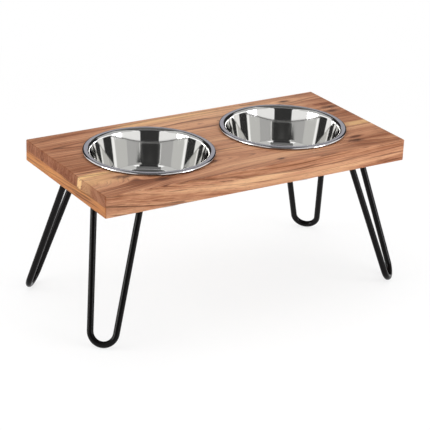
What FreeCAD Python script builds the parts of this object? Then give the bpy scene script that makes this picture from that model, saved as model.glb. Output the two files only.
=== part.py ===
import FreeCAD, Part
import math
import os
import re
import Sketcher

# Raised feeder: a glued wooden top with two drop-in steel bowls on four hairpin legs.
# Millimetres. The origin is on the floor under the middle of the top, X runs along
# the length, Y to the back and Z up.

doc = FreeCAD.newDocument("raised_feeder")
sheet = doc.addObject("Spreadsheet::Sheet", "Sizes")

SIZES = {
    # wooden top
    "top_height": 207.2,            # upper face of the top above the floor
    "panel_thickness": 14.0,        # glued panel of staves
    "band_thickness": 15.0,         # edge bands glued under the panel
    "band_width": 30.0,
    "middle_stave_width": 70.0,
    "side_margin": 30.8,            # from an opening to the long edge
    "end_margin": 42.3,             # from an opening to the end
    "corner_round": 1.6,            # upright corners of the top
    "edge_round": 1.2,              # upper and lower edges of the top
    # bowls
    "bowl_gap": 33.4,               # between the two rims
    "mouth_radius": 77.2,           # inner wall at the rim
    "rim_width": 9.1,
    "rim_height": 3.6,              # rolled edge, from its underside to its top
    "bead_width": 3.6,
    "bead_round": 1.6,
    "seat_gap": 0.3,                # rolled edge above the wood
    "sheet_steel": 0.8,
    "mouth_round": 2.2,             # bend from the wall to the rim, under the sheet
    "bowl_depth": 56.4,             # from the wood's upper face to the base
    "wall_inset": 11.2,             # how far the wall leans in from mouth to base
    "base_round": 19.0,
    "disc_margin": 5.0,             # flat ring round the raised disc of the base
    "disc_rise": 1.2,
    "disc_slope": 2.0,
    "opening_clearance": 1.7,       # between the bowl's wall and its opening
    # hairpin legs
    "leg_lean": 19.4,               # degrees from upright, towards the corner
    "rod_diameter": 8.5,
    "rod_spread": 60.8,             # between the rod's two ends, at the plate
    "foot_bend_radius": 17.2,
    "weld_size": 2.4,
    "plate_thickness": 3.0,
    "plate_land": 7.0,              # from the screws to the plate's edge
    "plate_arm": 35.4,              # from the leg's middle to the end of an arm
    "plate_nose_cut": 14.0,
    "plate_heel": 8.5,
    "plate_round": 3.0,
    # screws
    "screw_reach": 27.5,            # from the leg's middle towards the edge
    "screw_first": 12.4,
    "screw_pitch": 16.0,
    "screw_margin_end": 13.6,       # from a screw to the end band's inner edge
    "screw_margin_side": 6.6,       # from a screw to the side band's inner edge
    "screw_diameter": 4.0,
    "screw_length": 15.0,
    "screw_point": 4.0,
    "screw_head_diameter": 7.8,
    "screw_head_height": 2.6,
    "screw_crown_diameter": 5.0,
    "screw_clearance": 0.3,         # round the screw in the plate
    "pilot_clearance": 0.1,         # round the screw in the wood
    "pilot_spare": 0.5,             # wood hole beyond the screw's point
    "overrun": 6.0,                 # how far cuts and cut ends run past a face
}
for row, (alias, size) in enumerate(SIZES.items(), start=1):
    sheet.set(f"A{row}", alias)
    sheet.set(f"B{row}", str(size))
    sheet.setAlias(f"B{row}", alias)
doc.recompute()


def sized(text):
    # puts the sheet's name before every size in an expression
    return re.sub(r"[a-z_]+", lambda word: f"Sizes.{word[0]}" if word[0] in SIZES else word[0], text)


def number(text):
    return float(sheet.evalExpression(sized(text)))


# places and sizes that follow from the sheet
rim_radius = "(mouth_radius + rim_width)"
rim_top = "(seat_gap + rim_height)"
base_radius = "(mouth_radius - wall_inset)"
disc_radius = "(mouth_radius - wall_inset - base_round - disc_margin - disc_slope)"
opening_radius = "(mouth_radius + sheet_steel + opening_clearance)"
bowl_offset = f"({rim_radius} + bowl_gap / 2)"
half_length = f"({bowl_offset} + {opening_radius} + end_margin)"
half_width = f"({opening_radius} + side_margin)"
half_middle = "(middle_stave_width / 2)"
band_bottom = "(top_height - panel_thickness - band_thickness)"
plate_bottom = f"({band_bottom} - plate_thickness)"
leg_x = f"({half_length} - band_width + screw_margin_end - screw_reach)"
leg_y = f"({half_width} - band_width + screw_margin_side - screw_reach)"
plate_reach = "(screw_reach + plate_land)"
screw_places = ["screw_first", "(screw_first - screw_pitch)"]
leg_slant = f"(({plate_bottom} - rod_diameter / 2) / cos(leg_lean * 1deg))"


def body_named(label):
    body = doc.addObject("PartDesign::Body", label)
    body.Label = label
    return body


def place(item, x, y, z, turn=0):
    # a fixed turn about Z, and a position bound to the sheet
    item.Placement = FreeCAD.Placement(
        FreeCAD.Vector(), FreeCAD.Rotation(FreeCAD.Vector(0, 0, 1), turn))
    for axis, text in zip("xyz", (x, y, z)):
        item.setExpression(f"Placement.Base.{axis}", sized(text))


def sketch_on(body, role, name):
    sketch = body.newObject("Sketcher::SketchObject", f"{body.Name}_{name}")
    plane = [item for item in body.Origin.OriginFeatures if item.Role == role][0]
    sketch.AttachmentSupport = [(plane, "")]
    sketch.MapMode = "FlatFace"
    return sketch


def fix_point(sketch, geometry, point, x, y):
    # holds one point of the sketch at two sizes; the word 0 puts it on an axis
    for kind, text, axis in (("DistanceX", x, -2), ("DistanceY", y, -1)):
        if text == "0":
            sketch.addConstraint(Sketcher.Constraint("PointOnObject", geometry, point, axis))
        else:
            index = sketch.addConstraint(
                Sketcher.Constraint(kind, -1, 1, geometry, point, number(text)))
            sketch.setExpression(f"Constraints[{index}]", sized(text))


def fix_radius(sketch, geometry, text):
    index = sketch.addConstraint(Sketcher.Constraint("Radius", geometry, number(text)))
    sketch.setExpression(f"Constraints[{index}]", sized(text))


def draw_circle(sketch, x, y, radius):
    centre = FreeCAD.Vector(number(x), number(y), 0)
    circle = sketch.addGeometry(
        Part.Circle(centre, FreeCAD.Vector(0, 0, 1), number(radius)))
    fix_point(sketch, circle, 3, x, y)
    fix_radius(sketch, circle, radius)


def draw_outline(sketch, corners):
    # closed outline of straight sides; a corner's third entry rounds it
    spots = [FreeCAD.Vector(number(c[0]), number(c[1]), 0) for c in corners]
    count = len(corners)
    leave, reach, arcs = list(spots), list(spots), [None] * count
    for i in range(count):
        if len(corners[i]) < 3:
            continue
        radius = number(corners[i][2])
        back = (spots[i - 1] - spots[i]).normalize()
        ahead = (spots[(i + 1) % count] - spots[i]).normalize()
        half = back.getAngle(ahead) / 2
        reach[i] = spots[i] + back * (radius / math.tan(half))
        leave[i] = spots[i] + ahead * (radius / math.tan(half))
        middle = (back + ahead).normalize()
        centre = spots[i] + middle * (radius / math.sin(half))
        arcs[i] = Part.Arc(reach[i], centre - middle * radius, leave[i])
    sides = [
        sketch.addGeometry(Part.LineSegment(leave[i], reach[(i + 1) % count]))
        for i in range(count)]
    for i in range(count):
        before, after = sides[i - 1], sides[i]
        if arcs[i] is None:
            sketch.addConstraint(Sketcher.Constraint("Coincident", before, 2, after, 1))
            fix_point(sketch, after, 1, corners[i][0], corners[i][1])
            continue
        arc = sketch.addGeometry(arcs[i])
        starts_at_reach = sketch.getPoint(arc, 1).distanceToPoint(reach[i]) < \
            sketch.getPoint(arc, 2).distanceToPoint(reach[i])
        first, second = (1, 2) if starts_at_reach else (2, 1)
        sketch.addConstraint(Sketcher.Constraint("Tangent", before, 2, arc, first))
        sketch.addConstraint(Sketcher.Constraint("Tangent", arc, second, after, 1))
        fix_radius(sketch, arc, corners[i][2])
        corner = sketch.addGeometry(Part.Point(spots[i]), True)
        sketch.addConstraint(Sketcher.Constraint("PointOnObject", corner, 1, before))
        sketch.addConstraint(Sketcher.Constraint("PointOnObject", corner, 1, after))
        fix_point(sketch, corner, 1, corners[i][0], corners[i][1])


def pad(body, sketch, length):
    feature = body.newObject("PartDesign::Pad", f"{sketch.Name}_pad")
    feature.Profile = sketch
    feature.setExpression("Length", sized(length))
    doc.recompute()
    return feature


def pocket_up(body, sketch, length):
    # cuts upwards from the sketch, and stops the build if nothing was cut
    before = body.Shape.Volume
    feature = body.newObject("PartDesign::Pocket", f"{sketch.Name}_pocket")
    feature.Profile = sketch
    feature.Reversed = True
    feature.setExpression("Length", sized(length))
    doc.recompute()
    if not body.Shape.Volume < before:
        raise RuntimeError(f"{feature.Name} cuts nothing")
    return feature


def round_edges(body, radius, wanted, name):
    tip = body.Tip
    names = [
        f"Edge{i}" for i, edge in enumerate(tip.Shape.Edges, start=1)
        if wanted(edge.BoundBox)]
    feature = body.newObject("PartDesign::Fillet", f"{body.Name}_{name}")
    feature.Base = (tip, names)
    feature.setExpression("Radius", sized(radius))
    doc.recompute()


def same(a, b):
    return math.isclose(a, b, rel_tol=1e-6, abs_tol=1e-6)


# Wooden top

def add_stave(label, left, right, front, back, openings, turn=0):
    # one piece of the glued panel, with the openings that pass through it
    stave = body_named(label)
    outline = sketch_on(stave, "XY_Plane", "outline")
    draw_outline(outline, [(left, front), (right, front), (right, back), (left, back)])
    pad(stave, outline, "panel_thickness")
    cut = sketch_on(stave, "XY_Plane", "openings")
    for x in openings:
        draw_circle(cut, x, "0", opening_radius)
    pocket_up(stave, cut, "panel_thickness + overrun")
    end, side, upper = number(half_length), number(half_width), number("panel_thickness")

    def outer(box):
        at_end = same(box.XMin, end) or same(box.XMax, -end)
        return at_end, same(box.YMax, -side)

    if same(number(front), -side):
        round_edges(stave, "corner_round", lambda box: all(outer(box)), "corners")

    def rim(box):
        on_top = same(box.ZMin, upper)
        on_corner = box.YMax < -side + number("corner_round") * 2
        return on_top and (any(outer(box)) or on_corner)

    if any(same(abs(number(x)), end) for x in (left, right)):
        round_edges(stave, "edge_round", rim, "edges")
    place(stave, "0", "0", "top_height - panel_thickness", turn)


openings = [f"0 - {bowl_offset}", bowl_offset]
ends = (f"0 - {half_length}", half_length)
for label, turn in (("front_stave", 0), ("back_stave", 180)):
    add_stave(label, *ends, f"0 - {half_width}", f"0 - {half_middle}", openings, turn)
middle_sides = (f"0 - {half_middle}", half_middle)
for label, turn in (("middle_stave_left", 0), ("middle_stave_right", 180)):
    add_stave(label, ends[0], openings[0], *middle_sides, openings[:1], turn)
add_stave("middle_stave_centre", *openings, *middle_sides, openings)


def add_edge_band(label, reach, along, leg_along, leg_across, turn):
    # mitred strip under the panel, drawn as the front one; the mitre runs through the
    # middle of the rounded corner
    band = body_named(label)
    outline = sketch_on(band, "XY_Plane", "outline")
    far, near = number(along), number(along) - number("band_width")
    outside, inside = -number(reach), -number(reach) + number("band_width")
    radius = number("corner_round")
    step = radius * math.sqrt(0.5)
    up = FreeCAD.Vector(0, 0, 1)
    inner = Part.LineSegment(FreeCAD.Vector(near, inside, 0), FreeCAD.Vector(-near, inside, 0))
    outer = Part.LineSegment(
        FreeCAD.Vector(radius - far, outside, 0), FreeCAD.Vector(far - radius, outside, 0))
    inner = outline.addGeometry(inner)
    outer = outline.addGeometry(outer)
    fix_point(outline, inner, 1, f"{along} - band_width", f"band_width - {reach}")
    fix_point(outline, inner, 2, f"band_width - {along}", f"band_width - {reach}")
    for sign, side, outer_end, inner_end in (("", 1, 2, 1), ("0 - ", -1, 1, 2)):
        centre = FreeCAD.Vector(side * (far - radius), outside + radius, 0)
        circle = Part.Circle(centre, up, radius)
        turns = (1.5, 1.75) if side > 0 else (1.25, 1.5)
        arc = outline.addGeometry(
            Part.ArcOfCircle(circle, turns[0] * math.pi, turns[1] * math.pi))
        tip = centre + FreeCAD.Vector(side * step, -step, 0)
        mitre = outline.addGeometry(
            Part.LineSegment(tip, FreeCAD.Vector(side * near, inside, 0)))
        at_outer, at_tip = (1, 2) if side > 0 else (2, 1)
        outline.addConstraint(Sketcher.Constraint("Tangent", outer, outer_end, arc, at_outer))
        outline.addConstraint(Sketcher.Constraint("Coincident", arc, at_tip, mitre, 1))
        outline.addConstraint(Sketcher.Constraint("Coincident", mitre, 2, inner, inner_end))
        outline.addConstraint(Sketcher.Constraint("PointOnObject", arc, 3, mitre))
        fix_point(outline, arc, 3, f"{sign}({along} - corner_round)", f"corner_round - {reach}")
        fix_radius(outline, arc, "corner_round")
    pad(band, outline, "band_thickness")
    round_edges(
        band, "edge_round",
        lambda box: same(box.ZMax, 0) and box.YMax < outside + radius,
        "edges")
    pilots = sketch_on(band, "XY_Plane", "pilots")
    for sign in ("", "0 - "):
        for spot in screw_places:
            draw_circle(
                pilots, f"{sign}({leg_along} + {spot})", f"0 - {leg_across} - screw_reach",
                "screw_diameter / 2 + pilot_clearance")
    pocket_up(band, pilots, "screw_length - plate_thickness + pilot_spare")
    place(band, "0", "0", band_bottom, turn)


add_edge_band("front_edge_band", half_width, half_length, leg_x, leg_y, 0)
add_edge_band("right_edge_band", half_length, half_width, leg_y, leg_x, 90)
add_edge_band("back_edge_band", half_width, half_length, leg_x, leg_y, 180)
add_edge_band("left_edge_band", half_length, half_width, leg_y, leg_x, 270)


# Bowls

def add_bowl(label, x):
    # one sheet of steel: raised disc, base, leaning wall, rim and rolled edge
    bowl = body_named(label)
    section = sketch_on(bowl, "XZ_Plane", "section")
    base = "(0 - bowl_depth)"
    bead = f"({rim_radius} - bead_width)"
    ring = f"({disc_radius} + disc_slope)"
    draw_outline(section, [
        ("0", f"{base} + disc_rise"),
        (disc_radius, f"{base} + disc_rise"),
        (ring, base),
        (base_radius, base, "base_round"),
        ("mouth_radius + sheet_steel", f"{rim_top} - sheet_steel", "mouth_round"),
        (bead, f"{rim_top} - sheet_steel"),
        (bead, "seat_gap", "bead_round"),
        (rim_radius, "seat_gap", "bead_round"),
        (rim_radius, rim_top, "bead_round"),
        ("mouth_radius", rim_top, "mouth_round + sheet_steel"),
        (f"{base_radius} - sheet_steel", f"{base} + sheet_steel", "base_round - sheet_steel"),
        (ring, f"{base} + sheet_steel"),
        (disc_radius, f"{base} + disc_rise + sheet_steel"),
        ("0", f"{base} + disc_rise + sheet_steel"),
    ])
    turned = bowl.newObject("PartDesign::Revolution", f"{label}_turned")
    turned.Profile = section
    turned.ReferenceAxis = (section, ["V_Axis"])
    turned.Angle = 360
    place(bowl, x, "0", "top_height")


add_bowl("bowl_left", openings[0])
add_bowl("bowl_right", openings[1])


# Hairpin legs

def add_rod(label, x, y, turn):
    # one half is bent from the foot up to the plate, then mirrored and cut level;
    # the body's Y points to the corner, and its origin is under the plate
    rod = body_named(label)
    path = sketch_on(rod, "XZ_Plane", "path")
    path.AttachmentOffset = FreeCAD.Placement(
        FreeCAD.Vector(), FreeCAD.Rotation(FreeCAD.Vector(1, 0, 0), number("leg_lean")))
    path.setExpression("AttachmentOffset.Rotation.Angle", sized("leg_lean"))
    bend, slant, spread = number("foot_bend_radius"), number(leg_slant), number("rod_spread") / 2
    drop = slant - bend
    away = math.hypot(spread, drop)
    turn_angle = math.atan2(drop, spread) - math.acos(bend / away)
    centre = FreeCAD.Vector(0, -drop, 0)
    touch = centre + FreeCAD.Vector(math.cos(turn_angle), math.sin(turn_angle), 0) * bend
    gate = FreeCAD.Vector(spread, 0, 0)
    end = gate + (gate - touch).normalize() * number("overrun")
    circle = Part.Circle(centre, FreeCAD.Vector(0, 0, 1), bend)
    foot = path.addGeometry(Part.ArcOfCircle(circle, -math.pi / 2, turn_angle))
    straight = path.addGeometry(Part.LineSegment(touch, end))
    fix_point(path, foot, 3, "0", f"foot_bend_radius - {leg_slant}")
    fix_point(path, foot, 1, "0", f"0 - {leg_slant}")
    path.addConstraint(Sketcher.Constraint("Tangent", foot, 2, straight, 1))
    crossing = path.addGeometry(Part.Point(gate), True)
    fix_point(path, crossing, 1, "rod_spread / 2", "0")
    path.addConstraint(Sketcher.Constraint("PointOnObject", crossing, 1, straight))
    index = path.addConstraint(
        Sketcher.Constraint("Distance", crossing, 1, straight, 2, number("overrun")))
    path.setExpression(f"Constraints[{index}]", sized("overrun"))

    section = sketch_on(rod, "YZ_Plane", "section")
    draw_circle(
        section, f"{leg_slant} * sin(leg_lean * 1deg)",
        f"0 - {leg_slant} * cos(leg_lean * 1deg)", "rod_diameter / 2")
    half = rod.newObject("PartDesign::AdditivePipe", f"{label}_half")
    half.Profile = section
    half.Spine = (path, ["Edge1", "Edge2"])
    doc.recompute()
    both = rod.newObject("PartDesign::Mirrored", f"{label}_both")
    both.Originals = [half]
    mirror = [item for item in rod.Origin.OriginFeatures if item.Role == "YZ_Plane"][0]
    both.MirrorPlane = (mirror, [""])
    rod.Tip = both
    doc.recompute()
    level = sketch_on(rod, "XY_Plane", "level")
    wide, deep = "(rod_spread + overrun)", "(rod_diameter + overrun)"
    draw_outline(level, [
        (f"0 - {wide}", f"0 - {deep}"), (wide, f"0 - {deep}"),
        (wide, deep), (f"0 - {wide}", deep)])
    pocket_up(rod, level, "rod_diameter + overrun")
    welds = sketch_on(rod, "XY_Plane", "welds")
    for side in ("", "0 - "):
        draw_circle(welds, f"{side}rod_spread / 2", "0", "rod_diameter / 2 + weld_size")
    weld = pad(rod, welds, "weld_size")
    weld.Reversed = True
    weld.TaperAngle = -45
    place(rod, x, y, plate_bottom, turn - 45)


def add_plate(label, x, y, turn):
    # corner plate with two arms along the board's edges
    plate = body_named(label)
    outline = sketch_on(plate, "XY_Plane", "outline")
    nose = f"({plate_reach} - plate_nose_cut)"
    tail = "(0 - plate_arm)"
    heel = "(0 - plate_arm - plate_heel)"
    inner = f"({plate_reach} - plate_heel)"
    draw_outline(outline, [
        (plate_reach, tail, "plate_round"), (plate_reach, nose, "plate_round"),
        (nose, plate_reach, "plate_round"), (tail, plate_reach, "plate_round"),
        (heel, inner, "plate_round"), (inner, heel, "plate_round")])
    pad(plate, outline, "plate_thickness")
    holes = sketch_on(plate, "XY_Plane", "holes")
    for spot in screw_places:
        for hole_x, hole_y in (("screw_reach", spot), (spot, "screw_reach")):
            draw_circle(holes, hole_x, hole_y, "screw_diameter / 2 + screw_clearance")
    pocket_up(plate, holes, "plate_thickness + overrun")
    place(plate, x, y, plate_bottom, turn)


def add_screw(label, x, y):
    # pan-head wood screw, head down against the plate
    shank = doc.addObject("Part::Cylinder", f"{label}_shank")
    shank.setExpression("Radius", sized("screw_diameter / 2"))
    shank.setExpression("Height", sized("screw_length - screw_point"))
    point = doc.addObject("Part::Cone", f"{label}_point")
    point.setExpression("Radius1", sized("screw_diameter / 2"))
    point.Radius2 = 0
    point.setExpression("Height", sized("screw_point"))
    point.setExpression("Placement.Base.z", sized("screw_length - screw_point"))
    head = doc.addObject("Part::Cone", f"{label}_head")
    head.setExpression("Radius1", sized("screw_crown_diameter / 2"))
    head.setExpression("Radius2", sized("screw_head_diameter / 2"))
    head.setExpression("Height", sized("screw_head_height"))
    head.setExpression("Placement.Base.z", sized("0 - screw_head_height"))
    screw = doc.addObject("Part::MultiFuse", label)
    screw.Shapes = [shank, point, head]
    place(screw, x, y, "0")
    return screw


def add_leg_screws(label, x, y, turn):
    places = [(a, b) for spot in screw_places for a, b in (("screw_reach", spot), (spot, "screw_reach"))]
    screws = [add_screw(f"{label}_{i}", *spot) for i, spot in enumerate(places, start=1)]
    group = doc.addObject("Part::Compound", label)
    group.Label = label
    group.Links = screws
    place(group, x, y, plate_bottom, turn)
    return group


corners = {
    "back_right": (leg_x, leg_y),
    "back_left": (f"0 - {leg_x}", leg_y),
    "front_left": (f"0 - {leg_x}", f"0 - {leg_y}"),
    "front_right": (leg_x, f"0 - {leg_y}"),
}
screw_groups = []
for (corner, (x, y)), turn in zip(corners.items(), (0, 90, 180, 270)):
    add_rod(f"hairpin_rod_{corner}", x, y, turn)
    add_plate(f"leg_plate_{corner}", x, y, turn)
    screw_groups.append(add_leg_screws(f"leg_screws_{corner}", x, y, turn))

# check every feature, then write one file for each piece
doc.recompute()
for item in doc.Objects:
    if "Invalid" in item.State or "Error" in item.State:
        raise RuntimeError(f"{item.Name} failed: {item.State}")
bodies = [item for item in doc.Objects if item.TypeId == "PartDesign::Body"]
for piece in bodies + screw_groups:
    solids = len(piece.Shape.Solids)
    expected = len(piece.Links) if piece in screw_groups else 1
    if piece.Shape.isNull() or not piece.Shape.isValid() or solids != expected:
        raise RuntimeError(f"{piece.Label} is not sound: {solids} solids")
os.makedirs("parts", exist_ok=True)
for piece in bodies + screw_groups:
    piece.Shape.exportStep(f"parts/{piece.Label}.step")
print(f"{len(bodies) + len(screw_groups)} pieces written")
print(f"top {number(half_length) * 2:.1f} by {number(half_width) * 2:.1f} mm")
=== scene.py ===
import bpy
import bmesh
import math
from mathutils import Matrix, Vector


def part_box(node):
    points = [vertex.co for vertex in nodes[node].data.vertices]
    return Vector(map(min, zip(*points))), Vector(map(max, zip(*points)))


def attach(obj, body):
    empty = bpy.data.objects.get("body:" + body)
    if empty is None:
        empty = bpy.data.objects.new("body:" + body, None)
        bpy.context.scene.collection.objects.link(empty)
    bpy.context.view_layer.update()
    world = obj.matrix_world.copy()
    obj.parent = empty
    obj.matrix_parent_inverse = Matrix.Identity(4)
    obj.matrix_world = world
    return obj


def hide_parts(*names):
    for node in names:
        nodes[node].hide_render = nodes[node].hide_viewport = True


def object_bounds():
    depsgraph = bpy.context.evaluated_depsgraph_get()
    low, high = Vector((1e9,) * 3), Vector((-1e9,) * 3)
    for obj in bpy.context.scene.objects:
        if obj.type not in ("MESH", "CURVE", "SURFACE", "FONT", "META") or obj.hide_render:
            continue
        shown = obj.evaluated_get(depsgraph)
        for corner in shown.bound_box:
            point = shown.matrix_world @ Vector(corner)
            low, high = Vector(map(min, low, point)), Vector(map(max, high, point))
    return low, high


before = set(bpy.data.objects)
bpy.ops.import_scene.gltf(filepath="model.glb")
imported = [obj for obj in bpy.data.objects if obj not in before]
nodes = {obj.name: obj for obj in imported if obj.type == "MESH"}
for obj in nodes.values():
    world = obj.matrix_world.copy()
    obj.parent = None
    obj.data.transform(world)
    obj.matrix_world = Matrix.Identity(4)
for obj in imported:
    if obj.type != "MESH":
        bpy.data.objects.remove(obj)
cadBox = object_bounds()
scene = bpy.context.scene
print("frame:", len(nodes), "nodes")


# helpers for objects, nodes and materials

def newObject(name, data):
    obj = bpy.data.objects.new(name, data)
    scene.collection.objects.link(obj)
    return obj


def tone(red, green, blue):
    # a colour as a picture shows it, 0 to 255, made linear
    def straight(c):
        c = c / 255
        return c / 12.92 if c <= 0.04045 else ((c + 0.055) / 1.055) ** 2.4
    return (straight(red), straight(green), straight(blue), 1.0)


def grey(value):
    return (value, value, value, 1.0)


def feed(tree, socket, value):
    # links another node's output, or sets a plain value
    if isinstance(value, bpy.types.NodeSocket):
        tree.links.new(value, socket)
    elif value is not None:
        socket.default_value = value


def calc(tree, operation, a, b=None, c=None, clamp=False):
    node = tree.nodes.new("ShaderNodeMath")
    node.operation = operation
    node.use_clamp = clamp
    for socket, value in zip(node.inputs, (a, b, c)):
        feed(tree, socket, value)
    return node.outputs[0]


def move(tree, operation, a, b=None):
    node = tree.nodes.new("ShaderNodeVectorMath")
    node.operation = operation
    feed(tree, node.inputs[0], a)
    feed(tree, node.inputs[1], b)
    return node.outputs["Value" if operation == "LENGTH" else "Vector"]


def split(tree, vector):
    node = tree.nodes.new("ShaderNodeSeparateXYZ")
    feed(tree, node.inputs[0], vector)
    return node.outputs


def join(tree, x, y, z):
    node = tree.nodes.new("ShaderNodeCombineXYZ")
    for socket, value in zip(node.inputs, (x, y, z)):
        feed(tree, socket, value)
    return node.outputs[0]


def ramp(tree, value, low, high, start=0.0, end=1.0):
    node = tree.nodes.new("ShaderNodeMapRange")
    node.interpolation_type = "SMOOTHSTEP"
    settings = {"Value": value, "From Min": low, "From Max": high, "To Min": start, "To Max": end}
    for label, setting in settings.items():
        feed(tree, node.inputs[label], setting)
    return node.outputs["Result"]


def noise(tree, vector, detail=2.0, roughness=0.5):
    node = tree.nodes.new("ShaderNodeTexNoise")
    settings = {"Vector": vector, "Scale": 1.0, "Detail": detail, "Roughness": roughness}
    for label, setting in settings.items():
        feed(tree, node.inputs[label], setting)
    return node.outputs[0]


def mixColour(tree, share, a, b, blend="MIX"):
    node = tree.nodes.new("ShaderNodeMix")
    node.data_type = "RGBA"
    node.blend_type = blend
    feed(tree, node.inputs[0], share)
    feed(tree, node.inputs[6], a)
    feed(tree, node.inputs[7], b)
    return node.outputs[2]


def mixShader(tree, share, a, b):
    node = tree.nodes.new("ShaderNodeMixShader")
    for socket, value in zip(node.inputs, (share, a, b)):
        feed(tree, socket, value)
    return node.outputs[0]


def colourRamp(tree, value, stops):
    node = tree.nodes.new("ShaderNodeValToRGB")
    feed(tree, node.inputs[0], value)
    marks = node.color_ramp.elements
    while len(marks) < len(stops):
        marks.new(1.0)
    for mark, (place, colour) in zip(marks, stops):
        mark.position = place
        mark.color = colour
    return node.outputs[0]


def newGroup(name, inputs, outputs, kind="ShaderNodeTree"):
    # inputs and outputs give each label its kind of socket
    tree = bpy.data.node_groups.new(name, kind)
    for way, sockets in (("INPUT", inputs), ("OUTPUT", outputs)):
        for label, socket in sockets.items():
            tree.interface.new_socket(label, in_out=way, socket_type="NodeSocket" + socket)
    given, made = tree.nodes.new("NodeGroupInput"), tree.nodes.new("NodeGroupOutput")
    return tree, given.outputs, made.inputs


def useGroup(tree, group, **values):
    node = tree.nodes.new("ShaderNodeGroup")
    node.node_tree = group
    for label, value in values.items():
        feed(tree, node.inputs[label], value)
    return node.outputs


def objectPlace(tree):
    return tree.nodes.new("ShaderNodeTexCoord").outputs["Object"]


def newMaterial(name):
    material = bpy.data.materials.new(name)
    material.use_nodes = True
    tree = material.node_tree
    return material, tree, tree.nodes["Principled BSDF"].inputs, objectPlace(tree)


def bareMaterial(name):
    # nothing but its output
    material = bpy.data.materials.new(name)
    material.use_nodes = True
    tree = material.node_tree
    tree.nodes.clear()
    return material, tree, tree.nodes.new("ShaderNodeOutputMaterial").inputs["Surface"]


def bump(tree, shader, height, strength, distance):
    node = tree.nodes.new("ShaderNodeBump")
    for label, setting in {"Height": height, "Strength": strength, "Distance": distance}.items():
        feed(tree, node.inputs[label], setting)
    tree.links.new(node.outputs[0], shader["Normal"])


def dress(piece, material):
    nodes[piece].data.materials.clear()
    nodes[piece].data.materials.append(material)


# wood

# noises are (along, across, through, detail, roughness), with scales per metre;
# swingRound is in square metres, raggedMiddle and raggedWave are in metres
grain = {
    "wave": (4.0, 11.0, 9.0, 2.5, 0.45),
    "waver": (5.0, 60.0, 30.0, 2.0, 0.5),
    "broad": (3.6, 30.0, 16.0, 2.0, 0.5),
    "middle": (6.0, 150.0, 60.0, 3.0, 0.6),
    "vein": (7.0, 420.0, 200.0, 1.5, 0.5),
    "streak": (14.0, 760.0, 420.0, 3.0, 0.65),
    "dashes": (95.0, 1500.0, 1100.0, 1.0, 0.5),
    "ringShift": 13.7, "ringWaver": 1.6, "lineFrom": 0.76, "linePeak": 0.94, "lineFaint": 0.25,
    "fineRings": 0.31, "fineLine": 0.6, "veinLine": 0.75, "veinFrom": 0.60, "veinTo": 0.70,
    "ringTint": 0.26, "fineTint": 0.14, "broadTint": 0.5, "middleTint": 0.6, "tintLess": 0.25,
    "poreFrom": 0.62, "poreTo": 0.72,
    "swingRound": 0.0018, "raggedMiddle": 0.016, "raggedWave": 0.02,
}
figureSizes = {
    "Seed": "seed", "Through": "through", "Along": "along", "Bend": "bend", "Wander": "wander",
    "Pitch": "pitch", "Fold At": "foldAt", "Fold Round": "foldRound",
}


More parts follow.
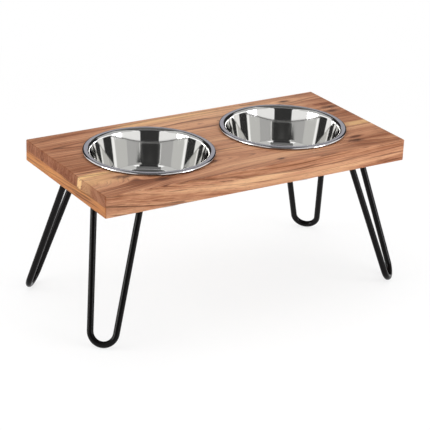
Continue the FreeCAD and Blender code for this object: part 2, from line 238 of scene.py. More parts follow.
def makePlankFigure():
    # growth rings as folded sheets through the plank, so faces, edges and ends agree
    tree, given, made = newGroup(
        "plankFigure", {"Place": "Vector", "Push": "Float", **dict.fromkeys(figureSizes, "Float")},
        dict.fromkeys(("Tone", "Line", "Streak", "Pore", "Ragged"), "Float"))
    x, y, z = split(tree, given["Place"])

    def stretched(name, across):
        # a noise drawn out along the plank
        alongScale, acrossScale, throughScale, detail, roughness = grain[name]
        spot = join(
            tree, calc(tree, "MULTIPLY_ADD", x, alongScale, given["Seed"]),
            calc(tree, "MULTIPLY", across, acrossScale), calc(tree, "MULTIPLY", z, throughScale))
        return noise(tree, spot, detail, roughness)

    def dice(number):
        node = tree.nodes.new("ShaderNodeTexWhiteNoise")
        node.noise_dimensions = "1D"
        feed(tree, node.inputs["W"], number)
        return node.outputs["Value"]

    def rings(pitch, sheet, waver):
        # a thin dark line at each ring's end, of a random strength, and a random tint for each ring
        ring = calc(tree, "DIVIDE", sheet, pitch)
        ring = calc(tree, "MULTIPLY_ADD", given["Seed"], grain["ringShift"], ring)
        ring = calc(tree, "MULTIPLY_ADD", waver, grain["ringWaver"], ring)
        number, part = calc(tree, "FLOOR", ring), calc(tree, "FRACT", ring)
        here, after = dice(number), dice(calc(tree, "ADD", number, 1.0))
        change = calc(tree, "SUBTRACT", after, here)
        tint = calc(tree, "MULTIPLY_ADD", change, ramp(tree, part, 0.0, 1.0), here)
        rise = ramp(tree, part, grain["lineFrom"], grain["linePeak"])
        line = calc(tree, "MULTIPLY", rise, ramp(tree, part, grain["linePeak"], 1.0, 1.0, 0.0))
        return tint, calc(tree, "MULTIPLY", line, ramp(tree, here, grain["lineFaint"], 1.0))

    wave = calc(tree, "SUBTRACT", stretched("wave", y), 0.5)
    swing = calc(tree, "MULTIPLY_ADD", x, x, grain["swingRound"])   # rising grain turns to falling
    side = calc(tree, "SUBTRACT", y, given["Fold At"])
    fold = calc(tree, "MULTIPLY", given["Fold Round"], given["Fold Round"])
    sheet = calc(tree, "SQRT", calc(tree, "MULTIPLY_ADD", side, side, fold))
    amounts = {"Wander": wave, "Through": z, "Along": x, "Bend": calc(tree, "SQRT", swing)}
    for label, amount in amounts.items():
        sheet = calc(tree, "MULTIPLY_ADD", amount, given[label], sheet)
    sheet = calc(tree, "ADD", sheet, given["Push"])

    waver = stretched("waver", sheet)
    tint, line = rings(given["Pitch"], sheet, waver)
    finePitch = calc(tree, "MULTIPLY", given["Pitch"], grain["fineRings"])
    fineTint, fineLine = rings(finePitch, sheet, waver)
    middle = stretched("middle", sheet)
    shade = calc(tree, "MULTIPLY", fineTint, grain["fineTint"])
    shades = {"ringTint": tint, "broadTint": stretched("broad", sheet), "middleTint": middle}
    for share, amount in shades.items():
        shade = calc(tree, "MULTIPLY_ADD", amount, grain[share], shade)
    feed(tree, made["Tone"], calc(tree, "SUBTRACT", shade, grain["tintLess"]))

    vein = ramp(tree, stretched("vein", sheet), grain["veinFrom"], grain["veinTo"])
    for share, amount in {"fineLine": fineLine, "veinLine": vein}.items():
        line = calc(tree, "MAXIMUM", line, calc(tree, "MULTIPLY", amount, grain[share]))
    feed(tree, made["Line"], line)
    feed(tree, made["Streak"], stretched("streak", sheet))
    dashes = stretched("dashes", sheet)
    feed(tree, made["Pore"], ramp(tree, dashes, grain["poreFrom"], grain["poreTo"]))
    ragged = calc(tree, "SUBTRACT", middle, 0.5)
    ragged = calc(tree, "MULTIPLY_ADD", ragged, grain["raggedMiddle"], y)
    feed(tree, made["Ragged"], calc(tree, "MULTIPLY_ADD", wave, grain["raggedWave"], ragged))
    return tree


knot = {
    "stretch": (0.45, 1.0, 0.12), "soften": 0.35, "halo": 4.2, "push": -1.5,
    "crumble": (170.0, 420.0, 90.0), "crumbleShare": 1.6, "eyeFull": 0.7, "eyeEnd": 2.3,
}


def makeKnotSwirl():
    # the grain parts round a knot, and its eye is dark
    tree, given, made = newGroup(
        "knotSwirl", {"Place": "Vector", "Spot": "Vector", "Size": "Float"},
        {"Push": "Float", "Eye": "Float"})
    away = move(tree, "SUBTRACT", given["Place"], given["Spot"])
    away = move(tree, "MULTIPLY", away, knot["stretch"])
    reach = calc(tree, "DIVIDE", move(tree, "LENGTH", away), given["Size"])
    side = calc(tree, "DIVIDE", split(tree, away)[1], given["Size"])
    spread = calc(tree, "SQRT", calc(tree, "MULTIPLY_ADD", side, side, knot["soften"]))
    halo = ramp(tree, reach, 0.0, knot["halo"], 1.0, 0.0)
    push = calc(tree, "MULTIPLY", calc(tree, "DIVIDE", side, spread), halo)
    push = calc(tree, "MULTIPLY", push, given["Size"])
    feed(tree, made["Push"], calc(tree, "MULTIPLY", push, knot["push"]))
    crumble = noise(tree, move(tree, "MULTIPLY", given["Place"], knot["crumble"]))
    reach = calc(tree, "MULTIPLY_ADD", crumble, knot["crumbleShare"], reach)
    feed(tree, made["Eye"], ramp(tree, reach, knot["eyeFull"], knot["eyeEnd"], 1.0, 0.0))
    return tree


def makeSoftPatch():
    # one at a spot, nought at its reach
    tree, given, made = newGroup(
        "softPatch", dict.fromkeys(("Place", "Spot", "Reach"), "Vector"), {"Share": "Float"})
    away = move(tree, "SUBTRACT", given["Place"], given["Spot"])
    away = move(tree, "LENGTH", move(tree, "DIVIDE", away, given["Reach"]))
    feed(tree, made["Share"], ramp(tree, away, 0.0, 1.0, 1.0, 0.0))
    return tree


plankFigure = makePlankFigure()
knotSwirl = makeKnotSwirl()
softPatch = makeSoftPatch()

woodTones = {
    "deep": tone(102, 55, 33),
    "dark": tone(148, 93, 63),
    "middle": tone(190, 136, 102),
    "light": tone(219, 172, 131),
    "sapwood": tone(238, 195, 137),
    "line": tone(84, 48, 32),
    "knot": tone(56, 32, 24),
    "end": tone(114, 56, 24),
}

# metres: knots are (x, y, size), patches are (spot, reach, lighter or darker), partly the wood's
# own tone and partly painted sheen, sapwood is (x from, x to, y middle, half width, share); a plank
# that runs across has turn 90
plankUsual = {
    "turn": 0, "foldAt": -1.0, "foldRound": 0.0, "bend": 0.0, "tint": (1, 1, 1),
    "knots": [], "toneAndSheen": [], "sapwood": [],
}
endBand = {
    "turn": 90, "through": 0.8, "wander": 0.010, "pitch": 0.0085, "tint": (0.82, 0.61, 0.32),
    "toneAndSheen": [((0.0, 0.0, 0.207), (9.0, 9.0, 1.0), 0.08)],
}
planks = {
    "front": {
        "pieces": ("front_stave", "front_edge_band"), "seed": 3.1,
        "foldAt": -0.066, "foldRound": 0.010, "through": 1.0, "along": 0.045, "bend": -0.085,
        "wander": 0.012, "pitch": 0.0105,
        "knots": [(-0.174, -0.062, 0.0062), (-0.134, -0.090, 0.0052),
                  (0.037, -0.096, 0.0036), (0.165, -0.083, 0.0058)],
        # the first three patches, lighter in the middle and darker towards the ends, are partly the
        # wood's tone and partly painted sheen of the upper face; the narrow band below the top edge
        # is the wood's tone, and the last two lighten the front face
        "toneAndSheen": [((0.0, -0.085, 0.207), (0.12, 0.05, 1.0), 0.12),
                  ((0.19, -0.09, 0.207), (0.09, 0.04, 1.0), -0.19),
                  ((-0.15, -0.085, 0.207), (0.06, 0.03, 1.0), -0.16),
                  ((0.0, -0.112, 0.1925), (0.085, 0.02, 0.0055), 0.44),
                  ((-0.12, -0.125, 0.190), (0.16, 0.03, 0.03), 0.22),
                  ((0.15, -0.125, 0.190), (0.14, 0.03, 0.03), 0.18)],
        "sapwood": [(-0.300, -0.150, -0.0405, 0.0054, 0.95), (-0.300, -0.150, -0.060, 0.014, 0.35),
                    (-0.030, 0.060, -0.037, 0.004, 0.3)],
    },
    "middle": {
        "pieces": ("middle_stave_left", "middle_stave_centre", "middle_stave_right"), "seed": 8.3,
        "through": 0.30, "along": 0.012, "wander": 0.014, "pitch": 0.0125,
        "knots": [(0.204, 0.028, 0.0052)],
        # these patches, lighter in the middle and darker towards the ends, are partly the wood's
        # tone and partly painted sheen of the upper face
        "toneAndSheen": [((0.0, -0.02, 0.207), (0.10, 0.09, 1.0), 0.10),
                  ((-0.22, 0.02, 0.207), (0.12, 0.10, 1.0), -0.22),
                  ((0.23, 0.02, 0.207), (0.07, 0.09, 1.0), -0.16)],
        "sapwood": [(0.170, 0.300, -0.026, 0.0065, 0.6)],
    },
    "back": {
        "pieces": ("back_stave", "back_edge_band"), "seed": 5.7,
        "foldAt": 0.062, "foldRound": 0.006, "through": 0.32, "along": -0.03,
        "wander": 0.016, "pitch": 0.0130, "tint": (1, 0.99, 1),
        "knots": [(0.210, 0.044, 0.0062), (0.165, 0.090, 0.0048)],
        # these patches, lighter in the middle and darker towards the ends, are partly the wood's
        # tone and partly painted sheen of the upper face
        "toneAndSheen": [((0.05, 0.10, 0.207), (0.22, 0.05, 1.0), 0.16),
                  ((-0.21, 0.06, 0.207), (0.14, 0.09, 1.0), -0.14),
                  ((0.22, 0.06, 0.207), (0.07, 0.05, 1.0), -0.14)],
        "sapwood": [(-0.110, 0.080, 0.097, 0.006, 0.5)],
    },
    "leftBand": {**endBand, "pieces": ("left_edge_band",), "seed": 11.9, "along": 0.05},
    "rightBand": {**endBand, "pieces": ("right_edge_band",), "seed": 14.2, "along": -0.05},
}
woodFinish = {
    "stops": {"deep": 0.08, "dark": 0.30, "middle": 0.52, "light": 0.86},
    "streakTone": 0.8, "lineShare": 0.9, "poreShare": 0.45, "knotShare": 0.85,
    "sapwoodCore": 0.5, "sapwoodRim": 1.35, "sapwoodIn": 0.03, "sapwoodOut": 0.07,
    # sawn ends, darker but for the sapwood
    "endDepth": 0.0011, "endSoft": 0.3, "endDarken": 0.56, "endRoughness": 0.15, "endSapwood": -0.9,
    "endDots": (60.0, 900.0, 900.0), "endDotShare": 0.3,
    # satin where the upper face is rubbed, duller edges
    "gloss": 0.16, "roughness": 0.36, "streakRoughness": 0.18,
    "rub": 0.46, "rubEnds": 0.14, "rubRoughness": 0.3, "rubFrom": 0.0008, "rubFull": 0.0002,
    "rubSpot": (0.04, 0.04, 0.207), "rubReach": (0.27, 0.30, 1.0),
    "poreRelief": -0.8, "streakRelief": 0.5, "lineRelief": -0.3,
    "relief": 0.35, "reliefDepth": 0.0003,
}


def layPlank(tree, place, plank):
    # turns the plank's length to x, and draws its figure and the eyes of its knots
    laid = tree.nodes.new("ShaderNodeMapping")
    feed(tree, laid.inputs["Vector"], place)
    laid.inputs["Rotation"].default_value = (0, 0, math.radians(-plank["turn"]))
    along = laid.outputs[0]
    push, eye = 0.0, 0.0
    for x, y, size in plank["knots"]:
        swirl = useGroup(tree, knotSwirl, Place=along, Spot=(x, y, cadBox[1].z), Size=size)
        push = calc(tree, "ADD", swirl["Push"], push)
        eye = calc(tree, "MAXIMUM", swirl["Eye"], eye)
    sizes = {label: plank[key] for label, key in figureSizes.items()}
    return along, useGroup(tree, plankFigure, Place=along, Push=push, **sizes), eye


def colourPlank(tree, plank, along, x, figure, eye):
    finish = woodFinish
    streak = calc(tree, "SUBTRACT", figure["Streak"], 0.5)
    value = calc(tree, "MULTIPLY_ADD", streak, finish["streakTone"], figure["Tone"])
    # patches of the wood's tone, some of them also painted sheen on the upper face
    for spot, reach, amount in plank["toneAndSheen"]:
        patch = useGroup(tree, softPatch, Place=along, Spot=spot, Reach=reach)
        value = calc(tree, "MULTIPLY_ADD", patch["Share"], amount, value)
    stops = [(place, woodTones[name]) for name, place in finish["stops"].items()]
    colour = colourRamp(tree, value, stops)
    pale = 0.0
    for start, stop, middle, half, share in plank["sapwood"]:
        off = calc(tree, "ABSOLUTE", calc(tree, "SUBTRACT", figure["Ragged"], middle))
        core, rim = half * finish["sapwoodCore"], half * finish["sapwoodRim"]
        fadeIn = ramp(tree, x, start, start + finish["sapwoodIn"])
        fadeOut = ramp(tree, x, stop - finish["sapwoodOut"], stop, 1.0, 0.0)
        strip = calc(tree, "MULTIPLY", ramp(tree, off, core, rim, share, 0.0), fadeIn)
        strip = calc(tree, "MULTIPLY", strip, fadeOut)
        colour = mixColour(tree, strip, colour, woodTones["sapwood"])
        pale = calc(tree, "MAXIMUM", strip, pale)
    marks = [(figure["Line"], "lineShare", "line"), (figure["Pore"], "poreShare", "line")]
    if plank["knots"]:
        marks.append((eye, "knotShare", "knot"))
    for mark, share, dark in marks:
        mark = calc(tree, "MULTIPLY", mark, finish[share])
        colour = mixColour(tree, mark, colour, woodTones[dark])
    return colour, pale


def makePlankWood(name, settings):
    plank, finish = {**plankUsual, **settings}, woodFinish
    material, tree, shader, place = newMaterial("wood_" + name)
    along, figure, eye = layPlank(tree, place, plank)
    x, _, z = split(tree, along)
    colour, pale = colourPlank(tree, plank, along, x, figure, eye)

    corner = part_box("front_stave")[1]
    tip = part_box("back_stave")[1].y if plank["turn"] else corner.x
    depth = finish["endDepth"]
    cut = ramp(tree, calc(tree, "ABSOLUTE", x), tip - depth, tip - depth * finish["endSoft"])
    dots = noise(tree, move(tree, "MULTIPLY", along, finish["endDots"]))
    least = finish["endDarken"] - finish["endDotShare"] / 2
    darker = calc(tree, "MULTIPLY_ADD", dots, finish["endDotShare"], least)
    darker = calc(tree, "MULTIPLY", cut, darker)
    spared = calc(tree, "MULTIPLY_ADD", pale, finish["endSapwood"], 1.0, clamp=True)
    colour = mixColour(tree, calc(tree, "MULTIPLY", darker, spared), colour, woodTones["end"])
    colour = mixColour(tree, 1.0, colour, (*plank["tint"], 1.0), "MULTIPLY")
    tree.links.new(colour, shader["Base Color"])

    shader["Specular IOR Level"].default_value = finish["gloss"]
    shader["Coat Roughness"].default_value = finish["rubRoughness"]
    upper = ramp(tree, z, corner.z - finish["rubFrom"], corner.z - finish["rubFull"])
    rubbed = useGroup(
        tree, softPatch, Place=place, Spot=finish["rubSpot"], Reach=finish["rubReach"])["Share"]
    more = finish["rub"] - finish["rubEnds"]
    rubbed = calc(tree, "MULTIPLY_ADD", rubbed, more, finish["rubEnds"])
    tree.links.new(calc(tree, "MULTIPLY", upper, rubbed), shader["Coat Weight"])
    rough = calc(
        tree, "MULTIPLY_ADD", figure["Streak"], finish["streakRoughness"], finish["roughness"])
    rough = calc(tree, "MULTIPLY_ADD", cut, finish["endRoughness"], rough)
    tree.links.new(rough, shader["Roughness"])
    relief = calc(tree, "MULTIPLY", figure["Streak"], finish["streakRelief"])
    for label, share in (("Pore", "poreRelief"), ("Line", "lineRelief")):
        relief = calc(tree, "MULTIPLY_ADD", figure[label], finish[share], relief)
    bump(tree, shader, relief, finish["relief"], finish["reliefDepth"])
    return material


for name, plank in planks.items():
    wood = makePlankWood(name, plank)
    for piece in plank["pieces"]:
        dress(piece, wood)
print("wood:", len(planks), "planks")


# steel bowls

bowl = {
    "segments": 160, "arcSteps": 10, "sameWithin": 1e-6,
    "mouthRadius": 0.0772, "rimWidth": 0.0091, "rimHeight": 0.0036, "sheet": 0.0008,
    "beadWidth": 0.0036, "beadRound": 0.0014, "edgeRound": 0.0022, "mouthRound": 0.0042,
    "wallInset": 0.0112, "baseRound": 0.019,
    "discMargin": 0.005, "discSlope": 0.002, "discRise": 0.0012, "discEdge": 0.004,
}
# heights are from the rim's top, and the painted shadow line's start and full strength are set in
# from the rim's outer edge
steel = {
    "rim": {"colour": (0.86, 0.855, 0.88, 1), "roughness": 0.13, "marks": 0.06},
    "polished": {"colour": (0.93, 0.925, 0.91, 1), "roughness": 0.05, "marks": 0.03},
    "fineness": 2600.0, "markDetail": 3.0, "markRoughness": 0.7,
    "relief": 0.04, "reliefDepth": 0.00002,
    # the outside colour is painted shade that darkens what the bowl's underside reflects; the
    # near-black colour is a painted contact shadow low on the rolled edge
    "outside": (0.46, 0.45, 0.45, 1), "shadedOutsideFrom": -0.004, "shadedOutsideFull": -0.008,
    "paintedShadow": (0.05, 0.045, 0.045, 1), "paintedShadowShare": 0.9, "paintedShadowIn": 0.0016, "paintedShadowFull": 0.0004,
    "paintedShadowFrom": -0.0014, "paintedShadowLow": -0.0028,
}


def roundedLine(corners, steps):
    # corners are (radius from the axis, height, rounding); round ones become arcs,
    # and arcs that meet share a point
    line = []
    for i, (r, z, fillet) in enumerate(corners):
        spot = Vector((r, z))
        if not fillet:
            line.append(spot)
            continue
        back = (Vector(corners[i - 1][:2]) - spot).normalized()
        ahead = (Vector(corners[i + 1][:2]) - spot).normalized()
        half = back.angle(ahead) / 2
        centre = spot + (back + ahead).normalized() * fillet / math.sin(half)
        first = spot + back * fillet / math.tan(half) - centre
        sweep = (spot + ahead * fillet / math.tan(half) - centre).angle_signed(first)
        for k in range(steps + 1):
            point = centre + Matrix.Rotation(sweep * k / steps, 2) @ first
            if (point - line[-1]).length > bowl["sameWithin"]:
                line.append(point)
    return line


def lathe(name, line, centre, segments, finishes, finishOf):
    # revolves a section about an upright axis; its two ends lie on the axis
    points = [(centre.x, centre.y, centre.z + line[0].y)]
    for r, z in line[1:-1]:
        for k in range(segments):
            a = 2 * math.pi * k / segments
            points.append((centre.x + r * math.cos(a), centre.y + r * math.sin(a), centre.z + z))
    points.append((centre.x, centre.y, centre.z + line[-1].y))
    rows, last = len(line) - 2, len(points) - 1
    faces, slots = [], []
    for k in range(segments):
        after = (k + 1) % segments
        faces.append((0, 1 + after, 1 + k))
        for row in range(rows - 1):
            low, high = 1 + row * segments, 1 + (row + 1) * segments
            faces.append((low + k, low + after, high + after, high + k))
        low = 1 + (rows - 1) * segments
        faces.append((low + k, low + after, last))
        slots += [finishOf(row) for row in range(rows + 1)]
    mesh = bpy.data.meshes.new(name)
    mesh.from_pydata(points, [], faces)
    for finish in finishes:
        mesh.materials.append(finish)
    mesh.polygons.foreach_set("material_index", slots)
    mesh.polygons.foreach_set("use_smooth", [True] * len(faces))
    form = bmesh.new()
    form.from_mesh(mesh)
    bmesh.ops.recalc_face_normals(form, faces=form.faces)
    form.to_mesh(mesh)
    form.free()
    return newObject(name, mesh)


def fromAxis(tree, place):
    # how far a place is from the upright axis
    return move(tree, "LENGTH", move(tree, "MULTIPLY", place, (1.0, 1.0, 0.0)))


def makeTurnedMarks():
    # fine rings left by polishing, round the bowl's own axis
    tree, given, made = newGroup(
        "turnedMarks", {"Place": "Vector", "Fineness": "Float"}, {"Marks": "Float"})
    out, up = fromAxis(tree, given["Place"]), split(tree, given["Place"])[2]
    scaled = [calc(tree, "MULTIPLY", size, given["Fineness"]) for size in (out, up)]
    marks = noise(tree, join(tree, *scaled, 0.0), steel["markDetail"], steel["markRoughness"])
    feed(tree, made["Marks"], marks)
    return tree


turnedMarks = makeTurnedMarks()


def makeSteel(name, centre, finish, rim=None):
    material, tree, shader, place = newMaterial(name)
    centred = move(tree, "SUBTRACT", place, tuple(centre))
    marks = useGroup(tree, turnedMarks, Place=centred, Fineness=steel["fineness"])["Marks"]
    colour = finish["colour"]
    if rim:
        # the outside below the rim is darkened as painted shade, and a painted shadow line runs
        # where the rolled edge meets the wood
        up = split(tree, centred)[2]
        below = ramp(tree, up, steel["shadedOutsideFrom"], steel["shadedOutsideFull"])
        colour = mixColour(tree, below, colour, steel["outside"])
        outer = ramp(tree, fromAxis(tree, centred), rim - steel["paintedShadowIn"], rim - steel["paintedShadowFull"])
        low = ramp(tree, up, steel["paintedShadowFrom"], steel["paintedShadowLow"], 0.0, steel["paintedShadowShare"])
        colour = mixColour(tree, calc(tree, "MULTIPLY", outer, low), colour, steel["paintedShadow"])
    feed(tree, shader["Base Color"], colour)
    shader["Metallic"].default_value = 1.0
    least = finish["roughness"] - finish["marks"] / 2
    tree.links.new(calc(tree, "MULTIPLY_ADD", marks, finish["marks"], least), shader["Roughness"])
    bump(tree, shader, marks, steel["relief"], steel["reliefDepth"])
    return material


def makeBowl(side):
    low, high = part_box("bowl_" + side)
    centre = Vector(((low.x + high.x) / 2, (low.y + high.y) / 2, high.z))
    b = bowl
    mouth, sheet, edge = b["mouthRadius"], b["sheet"], b["discEdge"]
    rim = mouth + b["rimWidth"]
    bead = rim - b["beadWidth"]
    under = -b["rimHeight"]                 # rolled edge's underside, from the rim's top
    base = low.z - high.z
    raised = base + b["discRise"]
    foot = mouth - b["wallInset"]
    ring = foot - b["baseRound"] - b["discMargin"]
    disc = ring - b["discSlope"]
    outside = [
        (0, raised, 0), (disc, raised, edge), (ring, base, edge), (foot, base, b["baseRound"]),
        (mouth + sheet, -sheet, b["mouthRound"]), (bead, -sheet, 0),
        (bead, under, b["beadRound"]), (rim, under, b["beadRound"])]
    inside = [
        (rim, 0, b["edgeRound"]), (mouth, 0, b["mouthRound"] + sheet),
        (foot - sheet, base + sheet, b["baseRound"] - sheet), (ring, base + sheet, edge),
        (disc, raised + sheet, edge), (0, raised + sheet, 0)]
    line = roundedLine(outside + inside, b["arcSteps"])
    topRow = max(range(len(line)), key=lambda i: (line[i].y, -line[i].x))
    satin = makeSteel("steel_rim_" + side, centre, steel["rim"], rim)
    polished = makeSteel("steel_polished_" + side, centre, steel["polished"])
    piece = lathe("polished_bowl_" + side, line, centre, b["segments"], [satin, polished],
                  lambda row: 1 if row >= topRow else 0)
    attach(piece, side + "_bowl")
    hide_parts("bowl_" + side)
    return piece


bowls = [makeBowl(side) for side in ("left", "right")]
print("bowls:", [len(piece.data.polygons) for piece in bowls], "faces")


# black coated legs

coat = {
    "colour": tone(10, 8, 8), "roughness": 0.20, "gloss": 0.13,
    "peel": 900.0, "relief": 0.12, "reliefDepth": 0.0002,
    "cloud": 38.0, "cloudDetail": 3.0, "cloudRoughness": 0.16,
    # worn in spots where a foot touches the floor
    "scuff": tone(92, 88, 86), "scuffShare": 0.7, "scuffRoughness": 0.2,
    "scuffFull": 0.0004, "scuffHeight": 0.004, "scuffFrom": 0.42, "scuffTo": 0.62,
}


def makeCoat(name, colour, roughness):
    material, tree, shader, place = newMaterial(name)
    peel = noise(tree, move(tree, "MULTIPLY", place, (coat["peel"],) * 3))
    cloud = noise(tree, move(tree, "MULTIPLY", place, (coat["cloud"],) * 3), coat["cloudDetail"])
    worn = ramp(tree, split(tree, place)[2], coat["scuffFull"], coat["scuffHeight"], 1.0, 0.0)
    worn = calc(tree, "MULTIPLY", worn, ramp(tree, peel, coat["scuffFrom"], coat["scuffTo"]))
    scuffed = calc(tree, "MULTIPLY", worn, coat["scuffShare"])
    tree.links.new(mixColour(tree, scuffed, colour, coat["scuff"]), shader["Base Color"])
    least = roughness - coat["cloudRoughness"] / 2
    rough = calc(tree, "MULTIPLY_ADD", cloud, coat["cloudRoughness"], least)
    rough = calc(tree, "MULTIPLY_ADD", worn, coat["scuffRoughness"], rough)
    tree.links.new(rough, shader["Roughness"])
    bump(tree, shader, peel, coat["relief"], coat["reliefDepth"])
    shader["Specular IOR Level"].default_value = coat["gloss"]
    return material


blackCoat = makeCoat("black_coat", coat["colour"], coat["roughness"])
legPieces = [name for name in nodes if name.startswith(("hairpin_rod", "leg_plate"))]
for piece in legPieces:
    dress(piece, blackCoat)
print("legs:", len(legPieces), "coated pieces")


# leg screws

# head is (radius, height) from the crown to the seat; first and pitch run along the plate's side
screw = {
    "colour": tone(31, 30, 30), "roughness": 0.36, "segments": 20, "smoothBelow": 40,
    "head": [(0.0025, -0.0026), (0.0032, -0.00235), (0.0037, -0.0016), (0.0039, -0.0007),
             (0.0039, 0.0)],
    "headHeight": 0.0026, "length": 0.015, "point": 0.004, "pointShare": 0.8, "radius": 0.002,
    "threadPitch": 0.0014, "threadCut": 0.0004, "plain": 0.0032,
    "driveLong": 0.0034, "driveWide": 0.0008, "driveDeep": 0.0015, "driveTaper": 0.55,
    "legs": 4, "perLeg": 4, "reach": 0.0275, "first": 0.0124, "pitch": 0.016, "seed": 7,
}


def makeScrewShape():
    # pan head with a cross recess, head down, and a threaded shank
    form, s = bmesh.new(), screw
    radius, count, taperFrom = s["radius"], s["segments"], s["length"] - s["point"]

    def wall(low, high):
        for k in range(len(low)):
            after = (k + 1) % len(low)
            form.faces.new((low[k], low[after], high[after], high[k]))

    height = s["plain"]
    line = s["head"] + [(radius, 0.0), (radius, height)]
    while height + s["threadPitch"] < taperFrom:
        line.append((radius - s["threadCut"], height + s["threadPitch"] / 2))
        height += s["threadPitch"]
        line.append((radius, height))
    line.append((radius * s["pointShare"], taperFrom))
    turns = [2 * math.pi * k / count for k in range(count)]
    rings = [
        [form.verts.new((r * math.cos(a), r * math.sin(a), z)) for a in turns] for r, z in line]
    for low, high in zip(rings, rings[1:]):
        wall(low, high)
    tip = form.verts.new((0, 0, s["length"]))
    for k in range(count):
        form.faces.new((rings[-1][k], rings[-1][(k + 1) % count], tip))

    far, near, face = s["driveLong"] / 2, s["driveWide"] / 2, -s["headHeight"]
    cross = [(far, -near), (far, near), (near, near)]
    for _ in range(3):                      # the other arms, by quarter turns
        cross += [(-y, x) for x, y in cross[-3:]]
    mouth = [form.verts.new((x, y, face)) for x, y in cross]
    bed = []
    for x, y in cross:
        x, y = (x * s["driveTaper"], y) if abs(x) > abs(y) else (x, y * s["driveTaper"])
        bed.append(form.verts.new((x, y, face + s["driveDeep"])))
    wall(mouth, bed)
    form.faces.new(bed)
    pairs = [(loop[k - 1], loop[k]) for loop in (rings[0], mouth) for k in range(len(loop))]
    crown = [form.edges.get(pair) for pair in pairs]
    bmesh.ops.triangle_fill(form, use_beauty=True, edges=crown)
    bmesh.ops.recalc_face_normals(form, faces=form.faces)
    mesh = bpy.data.meshes.new("screw_shape")
    form.to_mesh(mesh)
    form.free()
    mesh.shade_smooth()
    mesh.set_sharp_from_angle(angle=math.radians(s["smoothBelow"]))
    return bpy.data.objects.new("screw_shape", mesh)


def makeScrewTree():
    # screws in pairs along the outer sides of each leg's plate, turned by a quarter from leg to leg
    sizes = ("Leg X", "Leg Y", "Height", "Reach", "First", "Pitch", "Turn")
    counts = ("Legs", "Per Leg", "Seed")
    tree, given, made = newGroup(
        "screwSet",
        {**dict.fromkeys(sizes, "Float"), **dict.fromkeys(counts, "Int"),
         "Screw": "Object", "Finish": "Material"},
        {"Screws": "Geometry"}, "GeometryNodeTree")

    def add(kind, **links):
        node = tree.nodes.new(kind)
        for label, value in links.items():
            feed(tree, node.inputs[label], value)
        return node

    def whole(value, share):
        return calc(tree, "FLOOR", calc(tree, "DIVIDE", value, share))

    def side(step):
        # 1 for even steps and -1 for odd ones
        return calc(tree, "MULTIPLY_ADD", calc(tree, "MODULO", step, 2), -2, 1)

    count = add("GeometryNodeInputIndex").outputs[0]
    leg = whole(count, given["Per Leg"])
    row = calc(tree, "MODULO", whole(count, 2), 2)
    place = calc(tree, "SUBTRACT", given["First"], calc(tree, "MULTIPLY", row, given["Pitch"]))
    swap = tree.nodes.new("GeometryNodeSwitch")
    swap.input_type = "VECTOR"
    feed(tree, swap.inputs["Switch"], calc(tree, "MODULO", count, 2))
    feed(tree, swap.inputs["False"], join(tree, given["Reach"], place, 0))
    feed(tree, swap.inputs["True"], join(tree, place, given["Reach"], 0))
    quarter = tree.nodes.new("ShaderNodeVectorRotate")
    quarter.rotation_type = "Z_AXIS"
    feed(tree, quarter.inputs["Vector"], swap.outputs[0])
    feed(tree, quarter.inputs["Angle"], calc(tree, "MULTIPLY", leg, math.pi / 2))
    legX = calc(tree, "MULTIPLY", given["Leg X"], side(whole(calc(tree, "ADD", leg, 1), 2)))
    legY = calc(tree, "MULTIPLY", given["Leg Y"], side(whole(leg, 2)))
    spot = move(tree, "ADD", join(tree, legX, legY, given["Height"]), quarter.outputs[0])
    chance = tree.nodes.new("FunctionNodeRandomValue")
    chance.data_type = "FLOAT"
    feed(tree, chance.inputs["Max"], given["Turn"])
    feed(tree, chance.inputs["Seed"], given["Seed"])

    total = calc(tree, "MULTIPLY", given["Legs"], given["Per Leg"])
    points = add("GeometryNodePoints", Count=total, Position=spot)
    shape = add("GeometryNodeObjectInfo", Object=given["Screw"])
    copies = add(
        "GeometryNodeInstanceOnPoints", Points=points.outputs[0],
        Instance=shape.outputs["Geometry"], Rotation=join(tree, 0, 0, chance.outputs["Value"]))
    real = add("GeometryNodeRealizeInstances", Geometry=copies.outputs["Instances"])
    coated = add(
        "GeometryNodeSetMaterial", Geometry=real.outputs["Geometry"], Material=given["Finish"])
    feed(tree, made["Screws"], coated.outputs["Geometry"])
    return tree


def makeScrews():
    low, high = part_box("leg_screws_back_right")
    edge = screw["reach"] + max(r for r, z in screw["head"])
    shape = makeScrewShape()
    values = {
        "Leg X": high.x - edge, "Leg Y": high.y - edge, "Height": low.z + screw["headHeight"],
        "Reach": screw["reach"], "First": screw["first"], "Pitch": screw["pitch"],
        "Turn": 2 * math.pi, "Legs": screw["legs"], "Per Leg": screw["perLeg"],
        "Seed": screw["seed"], "Screw": shape,
        "Finish": makeCoat("black_screw", screw["colour"], screw["roughness"]),
    }
    holder = newObject("screw_holder", bpy.data.meshes.new("screw_holder"))
    copier = holder.modifiers.new("screwSet", "NODES")
    copier.node_group = makeScrewTree()
    for socket in copier.node_group.interface.items_tree:
        if socket.name in values:
            copier[socket.identifier] = values[socket.name]
    ready = holder.evaluated_get(bpy.context.evaluated_depsgraph_get())
    piece = newObject("leg_screw_set", bpy.data.meshes.new_from_object(ready))
    bpy.data.objects.remove(holder)
    bpy.data.objects.remove(shape)
    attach(piece, "stand")
    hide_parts("leg_screws_front_left", "leg_screws_front_right",
                "leg_screws_back_left", "leg_screws_back_right")
    return piece


print("screws:", len(makeScrews().data.polygons), "faces")


# floor, light and camera

studio = {
    "floorSize": 14.0, "floorDrop": 0.0003, "floorTone": 1.0, "ambient": 0.5,
    # how much of the floor's white is its own glow, near the object and past its shadow
    "glow": 0.76, "glowFrom": 0.4, "glowFull": 1.1,
    "lampAim": (0, 0, 0.15), "cardAim": (0, 0, 0.2),
    "camera": {"aim": (-0.0200, -0.0328, 0.1155), "azimuth": -32.27, "elevation": 22.84,
               "roll": 2.18, "distance": 2.213, "lens": 140.7},
}


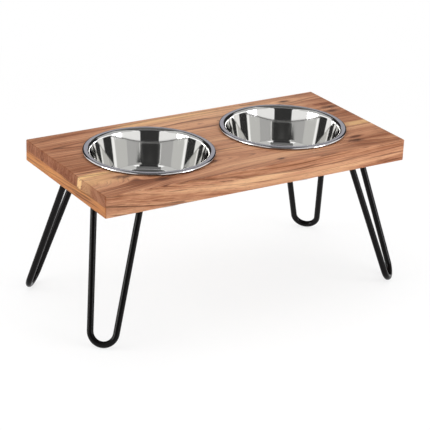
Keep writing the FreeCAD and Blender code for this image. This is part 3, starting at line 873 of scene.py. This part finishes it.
def seenDirectly(tree):
    # one for camera, glossy and transmission rays
    path = tree.nodes.new("ShaderNodeLightPath").outputs
    seen = calc(tree, "ADD", path["Is Camera Ray"], path["Is Glossy Ray"])
    return calc(tree, "ADD", seen, path["Is Transmission Ray"], clamp=True)


def sheetOf(name, halfX, halfY, z, material):
    mesh = bpy.data.meshes.new(name)
    corners = [(-halfX, -halfY, z), (halfX, -halfY, z), (halfX, halfY, z), (-halfX, halfY, z)]
    mesh.from_pydata(corners, [], [(0, 1, 2, 3)])
    mesh.materials.append(material)
    return newObject(name, mesh)


def makeFloor():
    material, tree, surface = bareMaterial("white_floor")
    paper = tree.nodes.new("ShaderNodeBsdfDiffuse")
    paper.inputs["Color"].default_value = grey(studio["floorTone"])
    glow = tree.nodes.new("ShaderNodeEmission")
    far = move(tree, "LENGTH", objectPlace(tree))
    share = ramp(tree, far, studio["glowFrom"], studio["glowFull"], studio["glow"], 1.0)
    share = calc(tree, "MULTIPLY", seenDirectly(tree), share)
    white = mixShader(tree, share, paper.outputs[0], glow.outputs[0])
    below = tree.nodes.new("ShaderNodeNewGeometry").outputs["Backfacing"]
    clear = tree.nodes.new("ShaderNodeBsdfTransparent").outputs[0]      # to see the underside
    tree.links.new(mixShader(tree, below, white, clear), surface)
    half = studio["floorSize"] / 2
    floor = sheetOf("floor", half, half, cadBox[0].z - studio["floorDrop"], material)


def makeWorld():
    world = bpy.data.worlds.new("studio")
    scene.world = world
    world.use_nodes = True
    tree = world.node_tree
    tree.nodes.clear()
    glows = []
    for strength in (studio["ambient"], 1.0):       # what lights the object, what is seen directly
        glow = tree.nodes.new("ShaderNodeBackground")
        glow.inputs["Color"].default_value = grey(1.0)
        glow.inputs["Strength"].default_value = strength
        glows.append(glow.outputs[0])
    both = mixShader(tree, seenDirectly(tree), *glows)
    tree.links.new(both, tree.nodes.new("ShaderNodeOutputWorld").inputs["Surface"])


def faceFrom(obj, setting, aim):
    # puts an object round the aim point and turns it there; azimuth 0 is in front, 90 to the right
    a, e = math.radians(setting["azimuth"]), math.radians(setting["elevation"])
    back = Vector((math.sin(a) * math.cos(e), -math.cos(a) * math.cos(e), math.sin(e)))
    right = Vector((0, 0, 1)).cross(back).normalized()
    turn = Matrix((right, back.cross(right), back)).transposed().to_4x4()
    obj.matrix_world = Matrix.Translation(Vector(aim) + setting["distance"] * back) @ turn


# lamps light the object, and the cards below are what shines in its metal
lamps = {
    "rightBox": {"azimuth": 38, "elevation": 22, "distance": 1.7, "size": 1.1, "power": 16.0},
    "leftBox": {"azimuth": -102, "elevation": 26, "distance": 1.7, "size": 1.1, "power": 12.0},
    "topBox": {"azimuth": 150, "elevation": 76, "distance": 1.7, "size": 1.7, "power": 12.0},
}

# boards that only reflections see, as round a shiny object in a studio: wide and high are angles,
# soft is where the border starts to turn from the board's tone to the edge tone
cardUsual = {"distance": 2.2, "soft": 0.84, "edge": 1.0}
cards = {
    "boardFront": {
        "azimuth": -32, "elevation": 26, "wide": 42, "high": 68, "tone": (0.03, 0.03, 0.03)},
    "boardFrontUp": {
        "azimuth": -32, "elevation": 46, "wide": 90, "high": 28, "tone": (0.14, 0.14, 0.14)},
    "boardFrontLow": {
        "azimuth": -32, "elevation": 3, "wide": 112, "high": 30, "tone": (0.82, 0.82, 0.81),
        "distance": 2.7},
    "boardTop": {
        "azimuth": -32, "elevation": 89, "wide": 64, "high": 64, "tone": (0.09, 0.09, 0.09)},
    "boardBehindLow": {
        "azimuth": 148, "elevation": 5, "wide": 96, "high": 22, "tone": (0.02, 0.02, 0.02)},
    "boardBehindMid": {
        "azimuth": 148, "elevation": 21, "wide": 26, "high": 16, "tone": (0.34, 0.335, 0.375)},
    "boardBehind": {
        "azimuth": 148, "elevation": 42, "wide": 100, "high": 38, "tone": (0.03, 0.03, 0.03),
        "soft": 0.35, "edge": 0.5},
    "boardBehindLeft": {
        "azimuth": -134, "elevation": 44, "wide": 58, "high": 42, "tone": (0.42, 0.42, 0.42)},
    "boardBehindRight": {
        "azimuth": 70, "elevation": 44, "wide": 58, "high": 42, "tone": (0.42, 0.42, 0.42)},
    "boardSideLeft": {
        "azimuth": -177, "elevation": 19, "wide": 44, "high": 28, "tone": (0.02, 0.02, 0.02),
        "distance": 2.0, "soft": 0.95, "edge": 0.1},
    "boardSideRight": {
        "azimuth": 113, "elevation": 19, "wide": 44, "high": 28, "tone": (0.02, 0.02, 0.02),
        "distance": 2.0, "soft": 0.95, "edge": 0.1},
    "boardLeft": {
        "azimuth": -92, "elevation": 34, "wide": 52, "high": 40, "tone": (0.55, 0.55, 0.54)},
    "boardRight": {
        "azimuth": 28, "elevation": 34, "wide": 52, "high": 40, "tone": (0.55, 0.55, 0.54)},
    "boxLeft": {
        "azimuth": -98, "elevation": 3, "wide": 26, "high": 26, "tone": (9.0, 9.0, 8.8)},
    "boxRight": {
        "azimuth": 36, "elevation": 3, "wide": 22, "high": 26, "tone": (8.4, 8.4, 8.8)},
}


def makeLamps():
    for name, lamp in lamps.items():
        data = bpy.data.lights.new(name, "AREA")
        data.shape = "SQUARE"
        data.size = lamp["size"]
        data.energy = lamp["power"]
        obj = newObject(name, data)
        faceFrom(obj, lamp, studio["lampAim"])
        obj.visible_camera = False
        obj.visible_glossy = False


def makeCards():
    for name, settings in cards.items():
        card = {**cardUsual, **settings}
        halves = [math.tan(math.radians(card[side] / 2)) for side in ("wide", "high")]
        w, h = (card["distance"] * half for half in halves)
        material, tree, surface = bareMaterial(name)
        x, y, _ = split(tree, move(tree, "ABSOLUTE", objectPlace(tree)))
        off = calc(tree, "MAXIMUM", calc(tree, "DIVIDE", x, w), calc(tree, "DIVIDE", y, h))
        border = ramp(tree, off, card["soft"], 1.0)
        glow = tree.nodes.new("ShaderNodeEmission")
        shade = mixColour(tree, border, (*card["tone"], 1.0), grey(card["edge"]))
        tree.links.new(shade, glow.inputs["Color"])
        tree.links.new(glow.outputs[0], surface)
        obj = sheetOf(name, w, h, 0, material)
        faceFrom(obj, card, studio["cardAim"])
        for ray in ("camera", "diffuse", "transmission", "volume_scatter", "shadow"):
            setattr(obj, "visible_" + ray, False)


def makeCamera():
    view = studio["camera"]
    data = bpy.data.cameras.new("camera")
    data.lens = view["lens"]
    camera = newObject("camera", data)
    faceFrom(camera, view, view["aim"])
    camera.matrix_world = camera.matrix_world @ Matrix.Rotation(math.radians(view["roll"]), 4, "Z")
    scene.camera = camera


makeFloor()
makeWorld()
makeLamps()
makeCards()
makeCamera()
scene.view_settings.view_transform = "Standard"
print("studio:", len(lamps), "lamps,", len(cards), "cards")
